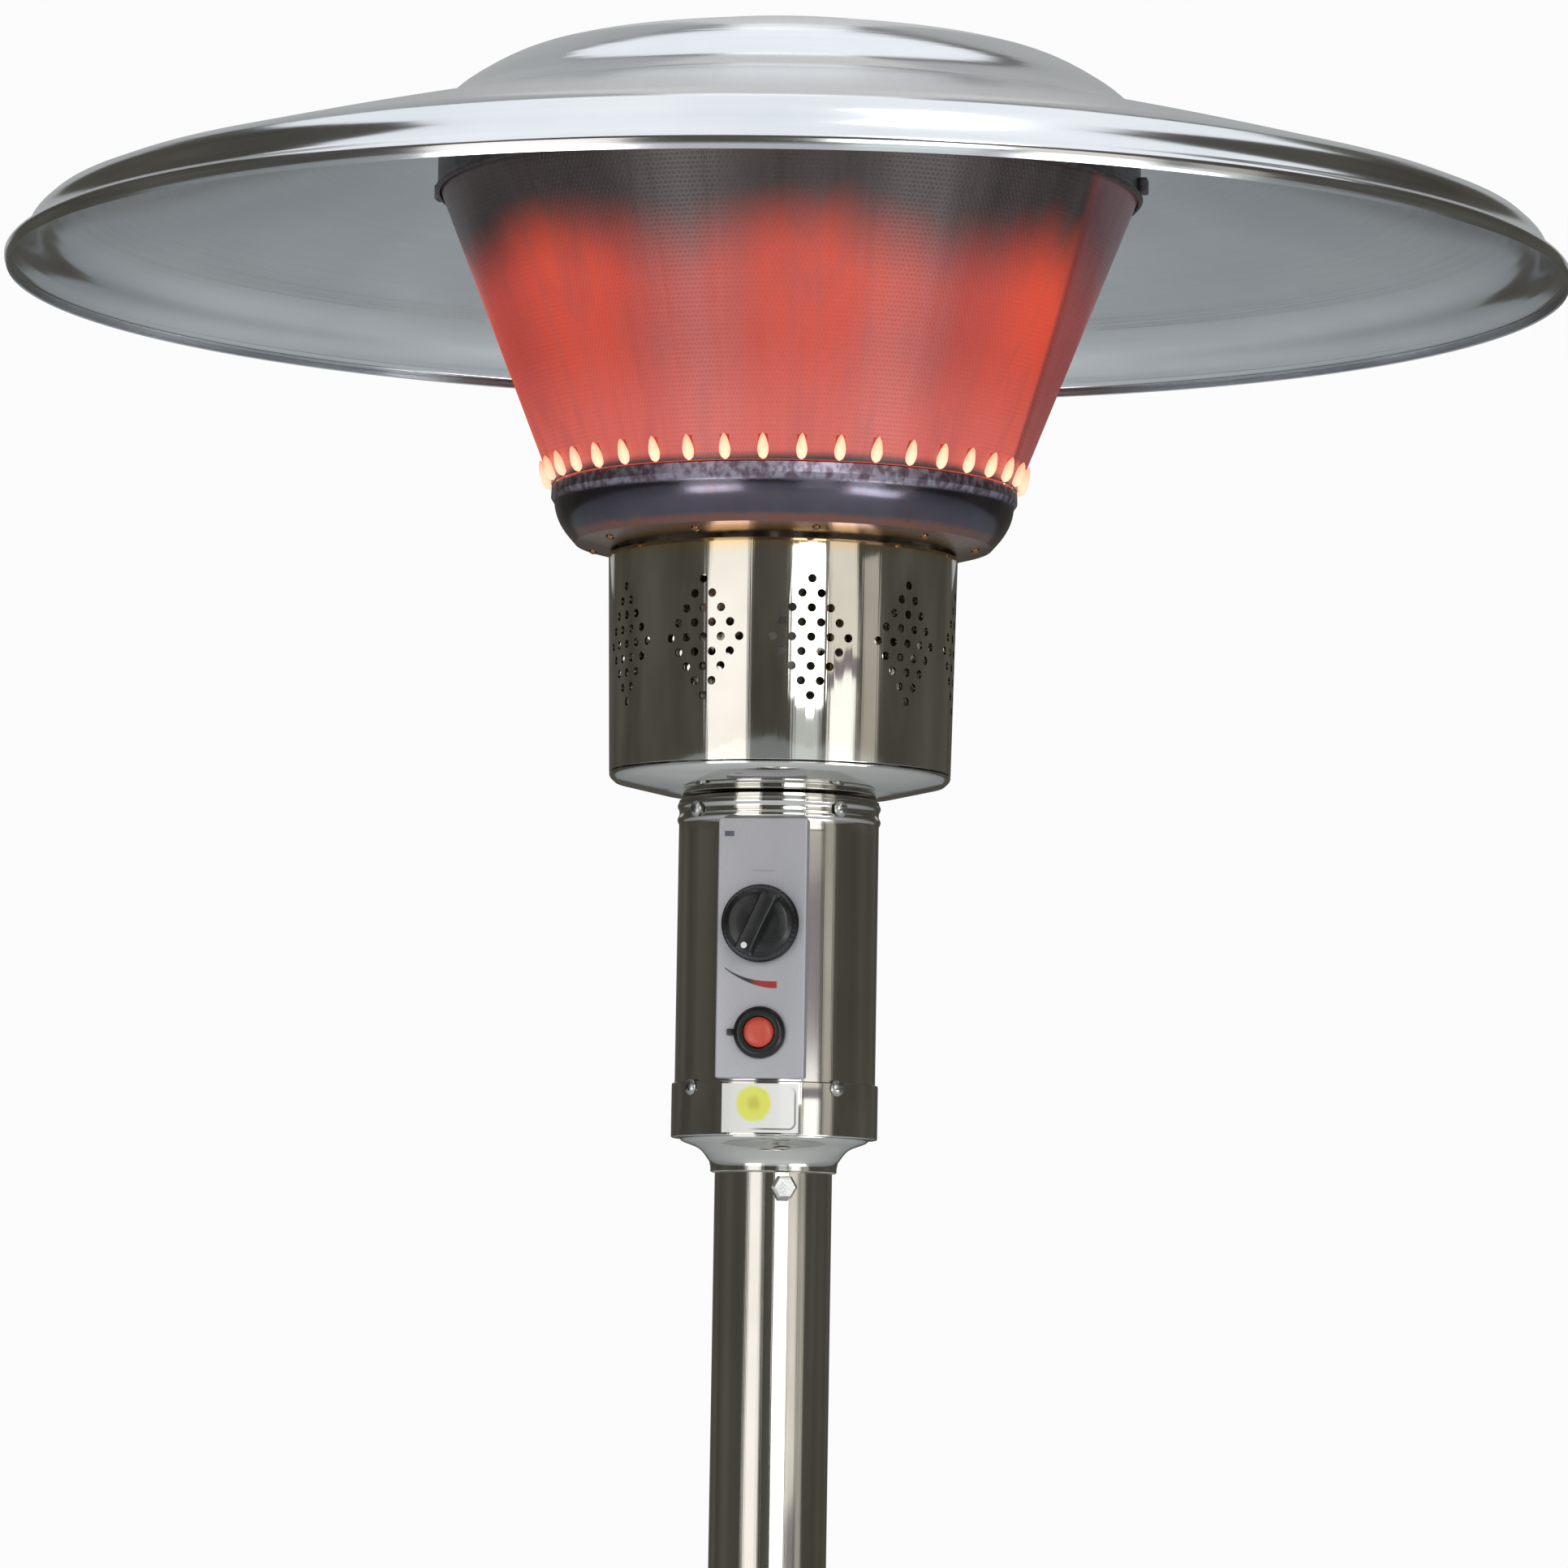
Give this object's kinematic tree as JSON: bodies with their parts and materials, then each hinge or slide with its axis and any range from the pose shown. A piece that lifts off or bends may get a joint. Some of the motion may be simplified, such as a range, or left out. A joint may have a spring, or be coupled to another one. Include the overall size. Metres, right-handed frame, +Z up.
{
  "type": "outdoor heater",
  "caption": "Free-standing gas patio heater with a mushroom reflector, conical emitter, control housing, round post and wheeled base.",
  "frame": {"origin": "on the floor, under the post's centre line, at the centre of the base", "axes": "+Z up along the post, -Y towards the side that the control panel faces, +X to the right seen from there"},
  "size_m": [0.813, 0.813, 2.2038],
  "materials": {
    "spun_aluminium": "spun and lightly brushed",
    "emitter_steel": "perforated, oxidised, glowing red when lit",
    "heat_tinted_steel": "satin, heat tinted purple and brown",
    "polished_stainless": "polished",
    "brushed_stainless": "brushed",
    "zinc_plated_steel": "zinc plated",
    "cast_iron": "matt black",
    "brass": "machined",
    "panel_grey": "satin grey paint",
    "black_plastic": "moulded",
    "red_plastic": "moulded, glossy",
    "ceramic": "white ceramic",
    "wheel_rubber": "solid rubber"
  },
  "bodies": {
    "stand": {"reflector": "spun_aluminium", "emitter_screen": "emitter_steel", "emitter_band": "heat_tinted_steel", "burner_bowl": "heat_tinted_steel", "burner_housing": "polished_stainless", "housing_base": "polished_stainless", "control_housing": "polished_stainless", "lower_collar": "polished_stainless", "flared_neck": "polished_stainless", "post": "polished_stainless", "base_plate": "polished_stainless", "emitter_cap": "brushed_stainless", "thermocouple": "brushed_stainless", "thermocouple_lead": "brushed_stainless", "housing_screw_1": "brushed_stainless", "housing_screw_2": "brushed_stainless", "housing_screw_3": "brushed_stainless", "housing_screw_4": "brushed_stainless", "collar_screw_1": "brushed_stainless", "collar_screw_2": "brushed_stainless", "collar_screw_3": "brushed_stainless", "collar_screw_4": "brushed_stainless", "reflector_stud_1": "zinc_plated_steel", "reflector_stud_2": "zinc_plated_steel", "reflector_stud_3": "zinc_plated_steel", "reflector_nut_1": "zinc_plated_steel", "reflector_nut_2": "zinc_plated_steel", "reflector_nut_3": "zinc_plated_steel", "mixer_tube": "zinc_plated_steel", "jet_bracket": "zinc_plated_steel", "pilot_bracket": "zinc_plated_steel", "lock_bolt": "zinc_plated_steel", "gas_supply_pipe": "zinc_plated_steel", "post_socket": "zinc_plated_steel", "support_leg_1": "zinc_plated_steel", "support_leg_2": "zinc_plated_steel", "support_leg_3": "zinc_plated_steel", "wheel_bracket": "zinc_plated_steel", "axle": "zinc_plated_steel", "burner_head": "cast_iron", "base_weight": "cast_iron", "gas_jet": "brass", "pilot_burner": "brass", "valve_body": "brass", "burner_gas_tube": "brass", "pilot_gas_tube": "brass", "gas_inlet": "brass", "control_panel": "panel_grey", "igniter_body": "black_plastic", "igniter_bezel": "black_plastic", "ignition_lead": "black_plastic", "tilt_switch": "black_plastic", "spark_electrode": "ceramic"},
    "spindle": {"valve_spindle": "zinc_plated_steel"},
    "knob": {"control_knob": "black_plastic"},
    "igniter_button": {"igniter_button": "red_plastic"},
    "tank_sleeve": {"tank_housing": "polished_stainless", "tank_cover": "polished_stainless"},
    "wheel_left": {"wheel_left": "wheel_rubber"},
    "wheel_right": {"wheel_right": "wheel_rubber"}
  },
  "joints": [
    {"name": "knob_turn", "type": "hinge", "parent": "stand", "child": "spindle", "pos_m": [0, -0.06, 1.7417], "axis": [0, -1, 0], "range_deg": [-155, 45]},
    {"name": "knob_push", "type": "slide", "parent": "spindle", "child": "knob", "axis": [0, 1, 0], "range_m": [0, 0.0035], "stiffness_N_per_m": 900, "springref_m": -0.002},
    {"name": "igniter_press", "type": "slide", "parent": "stand", "child": "igniter_button", "axis": [0, 1, 0], "range_m": [0, 0.004], "stiffness_N_per_m": 1500, "springref_m": -0.002},
    {"name": "tank_lift", "type": "slide", "parent": "stand", "child": "tank_sleeve", "axis": [0, 0, 1], "range_m": [0, 0.45]},
    {"name": "wheel_left_spin", "type": "hinge", "parent": "stand", "child": "wheel_left", "pos_m": [-0.061, 0.28, 0.053], "axis": [1, 0, 0], "continuous": true},
    {"name": "wheel_right_spin", "type": "hinge", "parent": "stand", "child": "wheel_right", "pos_m": [0.061, 0.28, 0.053], "axis": [1, 0, 0], "continuous": true}
  ]
}
